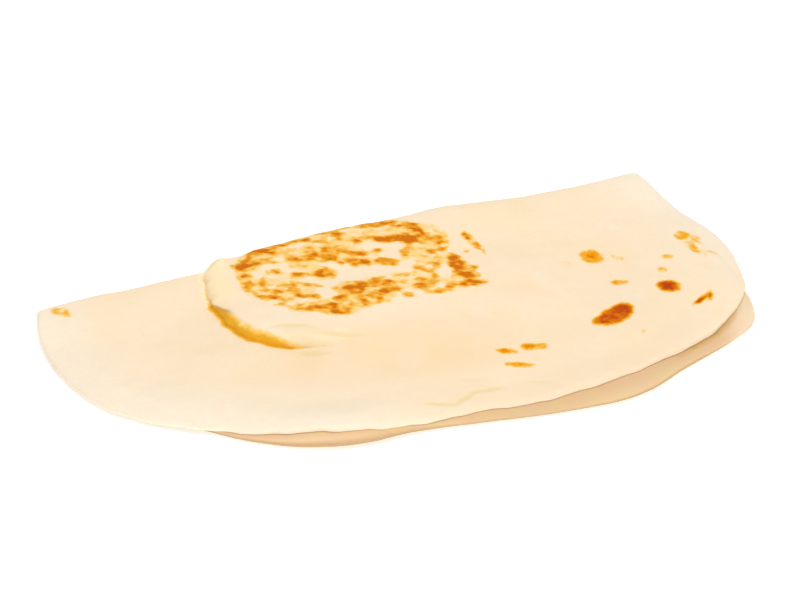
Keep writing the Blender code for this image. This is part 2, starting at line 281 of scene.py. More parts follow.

# Browned blotches on the upper leaf, in millimetres and degrees: x, s, half length, half width,
# turn, depth of browning
BLOTCHES = (
    (87, 14, 3.0, 2.8, 0, 0.95),
    (90, 10, 5.1, 1.4, -21, 0.85),
    (99, 7, 4.4, 1.5, 4, 0.90),
    (86, 21, 2.2, 2.1, 0, 0.80),
    (85, 28, 3.1, 2.3, -72, 0.90),
    (96, 14, 4.2, 1.6, -6, 0.75),
    (91, 28, 2.4, 1.6, 26, 0.80),
    (99, 23, 2.0, 1.7, 30, 0.50),
    (107, 28, 3.4, 1.7, 13, 0.75),
    (118, 31, 3.9, 3.2, 26, 0.80),
    (101, 35, 2.9, 1.8, 52, 0.80),
    (104, 44, 5.0, 1.7, 30, 0.88),
    (90, 39, 6.4, 1.5, 33, 0.72),
    (95, 37, 2.7, 1.6, 25, 0.60),
    (108, 37, 2.7, 1.3, 24, 0.50),
    (105, 5, 4.1, 1.0, 1, 0.60),
    (125, 11, 2.7, 1.5, 24, 0.75),
    (133, 9, 3.0, 2.5, 26, 0.65),
    (132, 19, 3.5, 1.7, -9, 0.55),
    (124, 22, 3.9, 2.7, 25, 0.65),
    (115, 19, 6.6, 2.0, 8, 0.75),
    (140, 16, 2.7, 1.6, 24, 0.70),
    (120, 7, 3.0, 1.1, 3, 0.45),
    (137, 24, 5.7, 1.5, 24, 0.50),
    (135, 29, 4.7, 2.4, 24, 0.92),
    (146, 33, 5.7, 2.4, 35, 0.65),
    (155, 19, 8.4, 2.7, 16, 0.95),
    (162, 22, 4.3, 3.0, 24, 0.95),
    (154, 7, 8.2, 1.8, 8, 0.70),
    (165, 13, 5.1, 2.5, 24, 0.75),
    (168, 19, 4.3, 2.5, -79, 0.70),
    (173, 24, 4.4, 1.9, 24, 0.75),
    (157, 30, 3.8, 2.0, -60, 0.62),
    (174, 30, 3.8, 2.3, -65, 0.65),
    (166, 34, 5.0, 1.9, -15, 0.55),
    (174, 44, 5.6, 3.2, -82, 0.95),
    (173, 51, 4.5, 2.1, -65, 0.85),
    (175, 55, 3.9, 2.4, 23, 0.85),
    (174, 60, 5.6, 2.3, 13, 0.90),
    (166, 60, 4.3, 1.4, 14, 0.70),
    (159, 61, 4.1, 1.0, 14, 0.85),
    (180, 51, 1.9, 1.3, -64, 0.60),
    (165, 44, 2.4, 2.1, 0, 0.65),
    (158, 43, 2.9, 2.1, 23, 0.50),
    (161, 51, 2.1, 1.6, -65, 0.70),
    (155, 51, 3.6, 1.6, 24, 0.55),
    (154, 55, 5.7, 2.6, 13, 0.62),
    (146, 59, 2.0, 1.6, 23, 0.60),
    (131, 46, 6.0, 2.0, 24, 0.95),
    (125, 47, 4.9, 3.9, 25, 0.72),
    (117, 52, 3.9, 2.3, 24, 0.70),
    (119, 45, 2.5, 1.2, 66, 0.70),
    (136, 44, 3.4, 2.4, 24, 0.60),
    (141, 50, 5.1, 2.9, 71, 0.60),
    (137, 53, 3.5, 1.6, 24, 0.78),
    (132, 55, 4.2, 2.3, 24, 0.75),
    (126, 57, 2.3, 1.8, -68, 0.75),
    (133, 58, 1.7, 1.3, 24, 0.80),
    (98, 51, 3.5, 1.9, 25, 0.60),
    (104, 54, 4.0, 2.3, 24, 0.65),
    (111, 55, 4.2, 2.6, 24, 0.75),
    (114, 59, 4.7, 2.5, 1, 0.80),
    (93, 46, 2.8, 1.2, 24, 0.38),
    (90, 9.5, 4.4, 1.5, -26, 0.85),
    (96, 6.5, 4.2, 1.3, -4, 0.88),
    (103, 10, 3.2, 1.0, 20, 0.55),
    (107, 6.5, 4.0, 1.0, 1, 0.65),
    (118, 6.2, 6.5, 1.0, 1, 0.60),
    (124, 17, 2.1, 1.7, -69, 0.75),
    (91, 15, 2.0, 1.2, 0, 0.75),
    (131, 5.0, 6.0, 1.1, 0, 0.60),
    (142, 4.5, 5.0, 1.1, 2, 0.60),
    (151, 4.4, 5.0, 1.3, 4, 0.65),
    (101, 2.2, 6.0, 1.3, -3, 0.60),
    (136, 1.6, 7.0, 1.2, 2, 0.55),
    (120, 0.5, 4.0, 1.2, 3, 0.40),
    (90, 18, 1.6, 1.2, 0, 0.60),
    (94, 22, 2.2, 0.9, 20, 0.45),
    (101, 17, 1.6, 0.8, 20, 0.40),
    (111, 23, 2.4, 1.1, 24, 0.55),
    (120, 15, 1.4, 1.0, 0, 0.50),
    (128, 27, 1.8, 0.9, 24, 0.50),
    (90, 34, 2.6, 1.0, 24, 0.50),
    (98, 33, 1.8, 0.9, 24, 0.45),
    (112, 39, 2.0, 0.8, 24, 0.40),
    (146, 25, 2.2, 1.0, 10, 0.50),
    (150, 45, 2.4, 1.2, 24, 0.50),
    (168, 40, 1.5, 1.1, 0, 0.45),
    (187, 28, 2.8, 1.1, 88, 0.80),
    (189, 35, 5.2, 1.3, -88, 0.76),
    (181, 36, 2.7, 1.4, 23, 0.35),
)

# Yellow haze between the blotches, in the same way
HAZE = (
    (88.5, 20, 7.0, 13.0, 10, 0.60),
    (95, 11, 13.0, 7.0, -20, 0.65),
    (106, 7, 12.0, 5.0, 0, 0.55),
    (93, 38, 12.0, 7.0, 32, 0.50),
    (99, 30, 9.0, 5.0, 25, 0.40),
    (114, 18, 13.0, 8.0, 8, 0.65),
    (127, 14, 12.0, 9.0, 10, 0.55),
    (136, 23, 9.0, 5.0, 22, 0.60),
    (118, 30, 8.0, 5.0, 24, 0.55),
    (142, 31, 11.0, 4.5, 22, 0.55),
    (154, 13, 17.0, 9.5, 12, 0.65),
    (171, 22, 10.0, 9.0, 30, 0.60),
    (164, 34, 11.0, 9.0, 20, 0.50),
    (173, 48, 7.0, 12.0, -15, 0.60),
    (157, 51, 13.0, 7.5, 18, 0.60),
    (129, 50, 14.0, 10.5, 25, 0.75),
    (141, 47, 9.0, 7.0, 20, 0.55),
    (107, 54, 14.0, 5.5, 24, 0.55),
    (117, 57, 9.0, 6.0, 15, 0.55),
    (106, 38, 10.0, 7.0, 30, 0.45),
)

# Pale places that the haze leaves free, in the same way
CLEAR = (
    (103, 18, 3.6, 3.0, -80, 0.95),
    (90, 23, 3.4, 2.3, -70, 0.95),
    (115, 41, 6.4, 3.8, -57, 1.00),
    (146, 24, 6.4, 4.6, -39, 1.00),
    (167, 48, 5.2, 2.6, -65, 1.00),
    (144, 38, 5.0, 2.6, 24, 0.95),
    (129, 38, 6.0, 2.6, 24, 0.85),
    (153, 38, 4.0, 2.8, 24, 0.80),
    (111, 34, 4.0, 1.6, 24, 0.80),
    (124, 28, 4.5, 1.5, 24, 0.70),
    (160, 57, 3.0, 1.6, 20, 0.60),
)

# Loose scorched spots on the upper leaf and on the underside, in the same way. A negative s is the lower leaf.
SPOTS = (
    (233.4, 56.2, 5.6, 4.7, 87, 0.49),
    (234.4, 55.6, 3.4, 2.8, 60, 0.16),
    (221, 58, 3.7, 2.5, 37, 0.16),
    (241, 59.6, 1.9, 1.7, 0, 0.30),
    (244.4, 62.6, 1.8, 1.6, 0, 0.30),
    (235, 79.4, 3.5, 2.3, 21, 0.46),
    (251.8, 91, 3.5, 3.1, 30, 0.97),
    (252.6, 91.2, 4.8, 4.3, 50, 0.74),
    (256.3, 78.5, 2.5, 2.0, -57, 0.34),
    (263, 70.5, 2.9, 1.8, 21, 0.34),
    (277.6, 57.2, 4.0, 3.3, -51, 0.41),
    (282.4, 60, 3.4, 1.9, 45, 0.24),
    (280.6, 63.8, 3.6, 1.9, 60, 0.27),
    (276.6, 65.5, 4.2, 2.2, 60, 0.27),
    (277.6, 71.8, 4.8, 2.2, 70, 0.30),
    (283.4, 74, 3.8, 1.9, 60, 0.17),
    (260.4, 105, 4.2, 1.1, -28, 1.00),
    (266, 103.4, 2.8, 0.9, -65, 0.85),
    (215.5, 103, 5.6, 2.8, -12, 0.72),
    (226, 99.8, 5.2, 3.8, -36, 0.84),
    (221.2, 102.6, 9.2, 5.5, -25, 0.74),
    (226, 118.6, 1.4, 1.2, 0, 0.24),
    (168, 108.5, 4.3, 2.0, 24, 0.52),
    (177.5, 108.7, 3.1, 2.2, 20, 0.62),
    (182.5, 110.5, 3.3, 2.0, 20, 0.48),
    (168, 119, 6.3, 1.6, 22, 0.54),
    (7, 8, 4.6, 2.5, 26, 0.27),
    (9, 12, 3.8, 1.8, 25, 0.22),
)
UNDER_SPOTS = (
    (62, -52, 6.0, 4.0, 20, 0.75),
    (70, -60, 4.0, 3.0, -35, 0.60),
    (118, -88, 7.0, 4.5, -15, 0.70),
    (171, -41, 5.0, 4.0, 60, 0.55),
    (204, -98, 7.5, 5.0, 10, 0.80),
    (214, -104, 4.0, 3.0, 45, 0.65),
    (246, -57, 5.5, 3.5, -25, 0.60),
    (98, -26, 4.5, 2.5, 5, 0.45),
    (150, -118, 4.0, 2.5, -50, 0.45),
    (36, -82, 4.0, 3.0, 30, 0.50),
)

# Small creases pressed into the crust, in the same way; their tint is painted shade in them and beside the
# blister's crease
WRINKLES = (
    (91, 61.4, 6.0, 0.8, 24, 0.75),
    (95, 65.5, 8.0, 2.0, 24, 0.35),
    (92, 69.5, 5.5, 2.4, 24, 0.50),
    (98, 73, 6.0, 1.8, 24, 0.40),
    (109, 72.5, 8.0, 1.0, 24, 0.75),
    (92, 76, 4.0, 1.1, 24, 0.8),
    (94.5, 79, 5.0, 1.0, 20, 0.8),
    (128.1, 130.8, 6.2, 1.0, 21, 0.8),
    (138.2, 130.9, 5.6, 1.0, -21, 0.95),
    (148.6, 129.6, 6.6, 1.0, 9, 0.8),
    (146, 121, 4.5, 0.8, 22, 0.35),
    (170, 132, 4.0, 0.8, 22, 0.4),
)

# Broad places where the crust is yellower, in the same way
SANDY = (
    (118, 88, 42, 16, 14, 0.75),
    (150, 92, 30, 20, 5, 0.5),
    (62, 80, 9, 7, 20, 0.45),
    (84, 92, 12, 6, 25, 0.45),
    (44, 52, 14, 10, 30, 0.3),
    (178, 66, 16, 8, 15, 0.4),
    (205, 78, 14, 8, 15, 0.3),
)


def smooth(value, start, end):
    """Rises from 0 at start to 1 at end, level at both."""
    t = np.clip((value - start) / (end - start), 0.0, 1.0)
    return t * t * (3.0 - 2.0 * t)


def hump(value, middle, half_width):
    """A rounded hump of height 1 and no height past half_width."""
    t = np.clip(1.0 - ((value - middle) / half_width) ** 2, 0.0, 1.0)
    return t * t


def band(value, start, full, fading, gone):
    """Rises from 0 at start to 1 at full, and falls from 1 at fading to 0 at gone."""
    return smooth(value, start, full) * (1.0 - smooth(value, fading, gone))


def weaker(value, lost, start, end):
    """1 up to start, and less by the share lost from end on."""
    return 1.0 - lost * smooth(value, start, end)


def edge_radii():
    """Angles and radii of the sheet's free edge, seen from the middle of the fold, in order of angle."""
    points = [(x - MIDDLE, s) for x, s in UPPER_EDGE] + [(x - MIDDLE, -s) for x, s in LOWER_EDGE]
    points.append((FOLD_LENGTH - MIDDLE, 0.0))
    polar = sorted((math.atan2(s, x), math.hypot(x, s)) for x, s in points)
    return np.array(polar).T


EDGE_ANGLES, EDGE_RADII = edge_radii()


def edge_radius(angle):
    """Radius of the free edge at each angle, on a smooth closed curve through the edge's points."""
    turn = 2.0 * math.pi
    count = len(EDGE_ANGLES)
    places = np.concatenate([EDGE_ANGLES - turn, EDGE_ANGLES, EDGE_ANGLES + turn])
    radii = np.tile(EDGE_RADII, 3)
    slopes = np.gradient(radii, places)
    at = (np.asarray(angle) - EDGE_ANGLES[0]) % turn + EDGE_ANGLES[0]
    i = np.clip(np.searchsorted(places, at, side="right") - 1, count - 1, 2 * count)
    step = places[i + 1] - places[i]
    t = (at - places[i]) / step
    from_left = radii[i] * (1 + 2 * t) * (1 - t) ** 2 + slopes[i] * step * t * (1 - t) ** 2
    from_right = radii[i + 1] * t * t * (3 - 2 * t) - slopes[i + 1] * step * t * t * (1 - t)
    ripple = sum(tall * np.sin(waves * at + phase) for waves, phase, tall in EDGE_RIPPLES)
    dent = sum(depth * hump(at, middle, half_width) for middle, half_width, depth in EDGE_DENTS)
    front = OTHER_RIPPLE + (1.0 - OTHER_RIPPLE) * smooth(np.sin(at), *FRONT_SINES)
    return from_left + from_right - dent + ripple * front


def inset(x, s):
    """How far inside the free edge a place on the sheet is. It is negative outside."""
    return edge_radius(np.arctan2(s, x - MIDDLE)) - np.hypot(x - MIDDLE, s)


def puff(x, s):
    """Extra thickness of the lower leaf where it is puffed near its free edge."""
    extra = sum(tall * hump(x, middle, half_length) for middle, half_length, tall in PUFFS)
    return extra * hump(np.maximum(inset(x, s), PUFF_INSET), PUFF_INSET, PUFF_WIDTH) * (s < 0)


def plain_thickness(x, s):
    """Thickness of the sheet: thin at its free edge and full inside."""
    in_from_edge = np.clip(inset(x, s) / EDGE_TAPER, 0.0, 1.0)
    return EDGE_THICKNESS + (THICKNESS - EDGE_THICKNESS) * np.sqrt(1.0 - (1.0 - in_from_edge) ** 2)


def thickness(x, s):
    """Thickness of the sheet with its puffed places."""
    return plain_thickness(x, s) + puff(x, s)


def fold_radius(x):
    """Radius of the sheet's middle surface round the fold."""
    return FOLD_RADIUS + sum(extra * hump(x, middle, half) for middle, half, extra in FOLD_SWELLS)


def upper_height(x, s, reach):
    """Height of the upper leaf's underside where it has settled on the lower leaf, or hangs past its edge."""
    below = inset(x, -s)
    gap = EDGE_GAP + (LEAF_GAP - EDGE_GAP) * smooth(inset(x, s), 0.0, EDGE_GAP_REACH)
    support = (THICKNESS + plain_thickness(x, -s)) / 2 + puff(x, -s) + gap
    covered = smooth(below, -OVERHANG_REACH, SUPPORTED_INSET)
    height = OVERHANG_HEIGHT + covered * (support - OVERHANG_HEIGHT)
    loose = covered * smooth(inset(x, s), 0.0, WAVE_INSET)
    for length_x, length_s, phase, tall in WAVES:
        wave = np.sin(2 * math.pi * x / length_x + phase) * np.cos(2 * math.pi * reach / length_s + phase)
        height = height + tall * (1.0 + wave) * loose
    return height


def side_profile(share, level, turn):
    """Height and lean of a side of the blister, at each share of the way from its middle to its foot."""
    turn = math.radians(turn)
    turned = np.clip((share - level) / (1.0 - level), 0.0, 1.0) * turn
    height = (np.cos(turned) - math.cos(turn)) / (1.0 - math.cos(turn))
    leaned = level + (1.0 - level) * np.sin(turned) / math.sin(min(turn, math.pi / 2))
    outside = (leaned - 1.0) * (1.0 - smooth(share, 1.0, FOOT_FADE))
    lean = np.where(share < level, 0.0, np.where(share < 1.0, leaned - share, outside))
    return height, lean


def blister_place(x, s):
    """Share of the way from the blister's middle to its foot, and the direction in degrees."""
    from_x = x - BLISTER_MIDDLE[0] + BLISTER_SLANT * np.minimum(s - BLISTER_MIDDLE[1], 0.0)
    across_x = from_x / np.where(from_x < 0.0, BLISTER_LEFT, BLISTER_RIGHT)
    across_s = (s - BLISTER_MIDDLE[1]) / np.where(s < BLISTER_MIDDLE[1], BLISTER_BACK, BLISTER_FRONT)
    n = np.where(s < BLISTER_MIDDLE[1], BACK_SQUARENESS, FRONT_SQUARENESS)
    share = (np.abs(across_x) ** n + np.abs(across_s) ** n) ** (1.0 / n)
    direction = np.arctan2(across_s, across_x)
    for waves, phase, tall in OUTLINE_WAVES:
        share = share * (1.0 + tall * np.sin(waves * direction + phase))
    return np.maximum(share, 1e-6), np.degrees(direction) % 360.0


def moved_out(x, s, stretch):
    """Sheet coordinates moved away from the blister's middle by that share of their distance."""
    return x + (x - BLISTER_MIDDLE[0]) * stretch, s + (s - BLISTER_MIDDLE[1]) * stretch


def between(direction, first, last):
    """1 between two directions and 0 elsewhere, blended."""
    return band(direction, first - SIDE_BLEND, first + SIDE_BLEND, last - SIDE_BLEND, last + SIDE_BLEND)


def crowded_to_lip(x, s):
    """Sheet coordinates of the mesh, drawn together at the leaning side of the blister."""
    share, direction = blister_place(x, s)
    wanted = np.where(share < EVEN_SHARES[-1], np.interp(share, EVEN_SHARES, LIP_SHARES), share)
    weight = between(direction, SIDES[0][2], LIP_CROWD_END) * smooth(s, FOLD_BLISTER_FULL, FOLD_LEAN_FULL)
    return moved_out(x, s, weight * (wanted - share) / share)


def blister(x, s):
    """The large blister, as its height and the sheet coordinates that its leaning side is moved to."""
    share, direction = blister_place(x, s)
    height = 1.0 - smooth(share, SOFT_SIDE[0], SOFT_SIDE[1])
    lean = np.zeros_like(share)
    for level, turn, first, last in SIDES:
        here = between(direction, first, last)
        side_height, side_lean = side_profile(share, level, turn)
        height = height + here * (side_height - height)
        lean = lean + here * (side_lean - lean)
    height = BLISTER_HEIGHT * height
    for middle_x, middle_s, radius, tall in CORNER_SWELLS:
        height = height + tall * hump(np.hypot(x - middle_x, s - middle_s), 0.0, radius)
    height = height * smooth(s, FOLD_BLISTER_START, FOLD_BLISTER_FULL)
    lean = lean * smooth(s, FOLD_BLISTER_FULL, FOLD_LEAN_FULL)
    moved_x, moved_s = moved_out(x, s, lean / share)
    return height, moved_x, moved_s


def folded(x, s):
    """Middle surface of the folded sheet and its outward direction, as distance from the fold and height."""
    radius = fold_radius(x)
    half_turn = radius * math.pi / 2
    turned = np.clip(s / radius, -math.pi / 2, math.pi / 2)
    beyond = np.maximum(np.abs(s) - half_turn, 0.0)
    reach = radius * (1.0 - np.cos(turned)) + beyond
    height = THICKNESS / 2 + radius * (1.0 + np.sin(turned)) + puff(x, s) / 2
    settled = smooth(beyond, 0.0, SETTLE_LENGTH) * (s > 0)
    rest = upper_height(x, s, reach) + thickness(x, s) / 2
    height = height + settled * (rest - height)
    return reach, height, -np.cos(turned), np.sin(turned)


def placed(x, s, out):
    """Points of the bread at sheet coordinates x and s, that far out from the sheet's middle surface."""
    reach, height, back, up = folded(x, s)
    return np.stack([x - ORIGIN_X, ORIGIN_Y - (reach + back * out), height + up * out], axis=-1)


def ellipses(marks, x, s, inner, outer):
    """Depth of overlapping marks, full at inner and gone at outer millimetres past their outlines."""
    clear = np.ones_like(x)
    for middle_x, middle_s, length, width, turn, depth in marks:
        cos, sin = math.cos(math.radians(turn)), math.sin(math.radians(turn))
        from_x, from_s = x * 1000 - middle_x, s * 1000 - middle_s
        share = np.hypot((from_x * cos + from_s * sin) / length, (from_s * cos - from_x * sin) / width)
        past = (share - 1.0) * math.sqrt(length * width)
        clear = clear * (1.0 - depth * (1.0 - smooth(past, inner, outer)))
    return 1.0 - clear


def relief(x, s):
    """Fine unevenness of the baked face: waves in every direction, with the wrinkles pressed into them."""
    random = np.random.default_rng(RELIEF_SEED)
    total = np.zeros_like(x)
    for shortest, longest, tall in RELIEF:
        for _ in range(RELIEF_WAVES):
            length = random.uniform(shortest, longest)
            heading, phase = random.uniform(0.0, 2 * math.pi, 2)
            along = x * math.cos(heading) + s * math.sin(heading)
            total = total + tall * RELIEF_SHARE * np.sin(2 * math.pi * along / length + phase)
    pressed = WRINKLE_DEPTH * ellipses(WRINKLES, x, s, *WRINKLE_PRESSED_EDGE)
    return (total - pressed) * smooth(s, *RELIEF_FROM_FOLD)


def faces(x, s):
    """Points of the outer and the inner face of the bread at sheet coordinates x and s."""
    bulge, moved_x, moved_s = blister(x, s)
    half = thickness(x, s) / 2
    return placed(moved_x, moved_s, half + bulge + relief(x, s)), placed(x, s, -half)


def graded_lines(count, crowds):
    """Places from -1 to 1, closer together round each crowd."""
    fine = np.linspace(-1.0, 1.0, DENSITY_STEPS)
    density = 1.0 + sum(gain * np.exp(-(((fine - place) / spread) ** 2)) for place, spread, gain in crowds)
    total = np.concatenate([[0.0], np.cumsum((density[1:] + density[:-1]) / 2)])
    return np.interp(np.linspace(0.0, total[-1], count), total, fine)


def sheet_coordinates(along, across):
    """Sheet coordinates of a square grid stretched over the whole sheet, its middle line along the fold."""
    a, b = np.meshgrid(along, across, indexing="ij")
    u = a * np.sqrt(1.0 - b * b / 2.0)
    v = b * np.sqrt(1.0 - a * a / 2.0)
    radius = edge_radius(np.arctan2(v, u))
    return MIDDLE + radius * u, radius * v


def rim_loop(rows, columns):
    """Grid places round the edge of the sheet, in order."""
    loop = [(i, 0) for i in range(rows - 1)]
    loop += [(rows - 1, j) for j in range(columns - 1)]
    loop += [(i, columns - 1) for i in range(rows - 1, 0, -1)]
    loop += [(0, j) for j in range(columns - 1, 0, -1)]
    return loop


def rim_points(outer, inner, loop, upper):
    """Points of a rounded rim between the two faces, one loop of points for each of its lines."""
    at = tuple(np.array(loop).T)
    inside = (np.clip(at[0], 1, outer.shape[0] - 2), np.clip(at[1], 1, outer.shape[1] - 2))
    middle = (outer[at] + inner[at]) / 2
    half = (outer[at] - inner[at]) / 2
    outward = middle - (outer[inside] + inner[inside]) / 2
    outward = outward / np.linalg.norm(outward, axis=1, keepdims=True)
    bulge = np.linalg.norm(half, axis=1, keepdims=True)
    turns = np.linspace(math.pi / 2, -math.pi / 2, RIM_LINES + 2)[1:-1]
    below = np.where(upper, LIP_BLUNTNESS, 1.0)[:, None]
    return [
        middle + outward * bulge * math.cos(turn) ** (below if turn < 0 else 1.0) + half * math.sin(turn)
        for turn in turns
    ]


def browning(marks, x, s, core, halo):
    """Depth of browning: a dark core and a weak halo round it, each with the softness of its outline."""
    return CORE_DEPTH * ellipses(marks, x, s, *core) + HALO_DEPTH * ellipses(marks, x, s, *halo)


def haze_field(x, s):
    """Yellow haze between the browned blotches and close round them, with pale places in it."""
    close = ellipses(BLOTCHES, x, s, *BLOTCH_GLOW)
    broad = ellipses(HAZE, x, s, *HAZE_EDGE) * (1.0 - ellipses(CLEAR, x, s, *CLEAR_EDGE))
    return 1.0 - (1.0 - GLOW_DEPTH * close) * (1.0 - broad)


def gold_top(direction):
    """Share of the way to the blister's foot at which the golden crease starts on its wall."""
    return GOLD_TOP - GOLD_WIDENING * hump(direction, GOLD_WIDEST, GOLD_WIDEST_REACH)


def crease_field(x, s):
    """Golden crease at the foot of the blister's leaning side, widest at the front left: partly the crease's
    own bake and partly painted warm light in its shade.
    """
    share, direction = blister_place(x, s)
    top = gold_top(direction)
    full = np.maximum(top + GOLD_SOFTNESS, 1.0 - GOLD_SOFTNESS * smooth(direction, *GOLD_FULLER))
    here = band(direction, *CREASE_DIRECTIONS) * smooth(s, *CREASE_FROM_FOLD)
    foot = smooth(direction, *GOLD_FOOT_DIRECTIONS) * smooth(share, *GOLD_FOOT_SHARES)
    gold = here * band(share, top, full, 1.0, GOLD_END) * (1.0 - GOLD_FOOT_LOST * foot)
    return gold * weaker(direction, GOLD_LEFT_LOST, *GOLD_LEFT_DIRECTIONS)


def lip_shade_line_field(x, s):
    """Painted shade: the thin brown line where the blister's lip hangs over the golden crease, at its left end.
    """
    share, direction = blister_place(x, s)
    here = band(direction, *LIP_LINE_DIRECTIONS) * smooth(s, *CREASE_FROM_FOLD)
    return here * hump(share, gold_top(direction) + LIP_LINE_BELOW_TOP, LIP_LINE_HALF_WIDTH)


def wall_fields(x, s):
    """Painted warm light: the blister's steep left side from its rounded top to its foot, and the narrow groove
    at its foot, tinted so that their shade stays warm and pale.
    """
    share, direction = blister_place(x, s)
    here = band(direction, *WALL_DIRECTIONS) * smooth(s, *WALL_FROM_FOLD)
    return here * band(share, *WALL_SHARES), here * hump(share, 1.0, GROOVE_HALF_WIDTH)


def inside_field(x, s, turned):
    """The tan inner face of the sheet and the rim of its lower leaf: partly the inner side's own bake and
    partly painted shade of the band under the upper leaf, weaker towards the right end, where the lower leaf
    lies in light.
    """
    return np.where((s < 0) & (turned > INSIDE_TURN), 1.0, turned) * weaker(x, *INSIDE_WEAKER)


def upper_lip_light_field(x, s, turned):
    """Painted light: the lower half of the upper leaf's rim and the strip of its inner face beside it, made
    pale so that they don't fall dark in their shade.
    """
    return (1.0 - smooth(inset(x, s), *UPPER_LIP_INSETS)) * (s > 0) * smooth(turned, *UPPER_LIP_TURNS)


def lower_rim_shade_field(x, s, turned):
    """Painted shade: the darker rim of the lower leaf, where it turns under towards the floor."""
    return (s < 0) * hump(turned, LOWER_RIM_TURN, LOWER_RIM_HALF_WIDTH) * weaker(x, *LOWER_RIM_WEAKER)


def border_field(x, s):
    """The paler border of the outer face along the free edges, weak along the upper leaf's front."""
    front = smooth(x, *BORDER_LOST_X) * smooth(s, *BORDER_LOST_S)
    return (1.0 - smooth(inset(x, s), 0.0, BORDER_WIDTH)) * (1.0 - BORDER_LOST * front)


def front_shade_field(x, s):
    """Painted shade: a darker band close along the front of the upper leaf, where its edge slopes away from the
    light.
    """
    return (s > 0) * hump(inset(x, s), FRONT_BAND_INSET, FRONT_BAND_HALF_WIDTH) * band(x, *FRONT_BAND_SPAN)


def under_edge_shade_field(x, s):
    """Painted shade on the lower leaf's inner face close under the upper leaf's free edge, where the upper leaf
    shades it.
    """
    half_width = UNDER_EDGE_HALF_WIDTH + UNDER_EDGE_WIDENING * smooth(x, *UNDER_EDGE_WIDENS)
    return (s < 0) * hump(inset(x, -s), UNDER_EDGE_INSET, half_width) * weaker(x, *UNDER_EDGE_WEAKER)


def edge_shade_field(x, s):
    """Painted shadow: the strip of the lower leaf just in front of the upper leaf's free edge, towards the
    right end, where that edge casts its shadow.
    """
    return (s < 0) * hump(inset(x, -s), EDGE_SHADE_INSET, EDGE_SHADE_HALF_WIDTH) * band(x, *EDGE_SHADE_SPAN)


def bread_fields(x, s, turned):
    """Where each tint and mark lies, from 0 to 1. Turned is 0 on the outer face and 1 on the inner one."""
    outer = 1.0 - smooth(turned, 0.0, RIM_MARKS_END)
    inner = turned > 0.5
    wall, groove = wall_fields(x, s)
    return {
        "scorch": browning(BLOTCHES, x, s, BLOTCH_CORE, BLOTCH_HALO) * outer,
        "haze": haze_field(x, s) * outer,
        "spot": browning(SPOTS + UNDER_SPOTS, x, s, SPOT_CORE, SPOT_HALO) * outer,
        "crease": crease_field(x, s) * outer,
        "wrinkle": ellipses(WRINKLES, x, s, *WRINKLE_TINT_EDGE) * outer,
        "sandy": ellipses(SANDY, x, s, *SANDY_EDGE) * outer,
        "inside": inside_field(x, s, turned),
        "lip_shade_line": lip_shade_line_field(x, s) * outer,
        "wall": wall * outer,
        "groove": groove * outer,
        "under_edge_shade": under_edge_shade_field(x, s) * inner,
        "edge_shade": edge_shade_field(x, s) * inner,
        "upper_lip_light": upper_lip_light_field(x, s, turned),
        "lower_rim_shade": lower_rim_shade_field(x, s, turned),
        "border": border_field(x, s) * outer,
        "front_shade": front_shade_field(x, s) * outer,
    }


def grid_quads(rows, columns, start):
    """Faces of a grid of points, whose first point has the number start."""
    corners = [start + i * columns + j for i in range(rows - 1) for j in range(columns - 1)]
    return [(n, n + columns, n + columns + 1, n + 1) for n in corners]


def skin_faces(grid, coarse_grid):
    """Faces of the fine outer grid, the rim's loops of points and the coarse inner grid, in this order."""
    columns, coarse_columns = grid[1], coarse_grid[1]
    loop = [i * columns + j for i, j in rim_loop(*grid)]
    count = len(loop)
    loops = [loop]
    start = grid[0] * columns
    for _ in range(RIM_LINES):
        loops.append(list(range(start, start + count)))
        start += count
    quads = grid_quads(*grid, 0)
    for first, second in zip(loops, loops[1:]):
        for k in range(count):
            after = (k + 1) % count
            quads.append((first[k], first[after], second[after], second[k]))
    last = [start + i * coarse_columns + j for i, j in rim_loop(*coarse_grid)]
    for k in range(len(last)):
        fine = [loops[-1][(k * INNER_STEP + n) % count] for n in range(INNER_STEP + 1)]
        quads.append((*fine, last[(k + 1) % len(last)], last[k]))
    return quads + grid_quads(*coarse_grid, start)


def bread_mesh():
    """The bread's closed skin, with a fine outer face, a coarse inner face and a rounded rim between them."""
    along = graded_lines(ALONG_LINES, ALONG_CROWDS)
    across = graded_lines(ACROSS_LINES, ACROSS_CROWDS)
    x, s = crowded_to_lip(*sheet_coordinates(along, across))
    outer, inner = faces(x, s)
    loop = rim_loop(*x.shape)
    at = tuple(np.array(loop).T)
    rims = rim_points(outer, inner, loop, s[at] > 0)
    coarse = (slice(None, None, INNER_STEP), slice(None, None, INNER_STEP))
    points = [outer.reshape(-1, 3)] + rims + [inner[coarse].reshape(-1, 3)]

    mesh = bpy.data.meshes.new("lavash")
    mesh.from_pydata(np.concatenate(points), [], skin_faces(x.shape, x[coarse].shape))
    bm = bmesh.new()
    bm.from_mesh(mesh)
    bmesh.ops.recalc_face_normals(bm, faces=bm.faces[:])
    bm.to_mesh(mesh)
    bm.free()
    mesh.shade_smooth()

    turned = [np.zeros(x.size)]
    turned += [np.full(len(loop), (k + 1) / (RIM_LINES + 1)) for k in range(RIM_LINES)]
    turned.append(np.ones(x[coarse].size))
    all_x, all_s = (
        np.concatenate([grid.ravel()] + [grid[at]] * RIM_LINES + [grid[coarse].ravel()]) for grid in (x, s)
    )
    for name, values in bread_fields(all_x, all_s, np.concatenate(turned)).items():
        mesh.attributes.new(name, "FLOAT", "POINT").data.foreach_set("value", values.astype(np.float32))
    return mesh


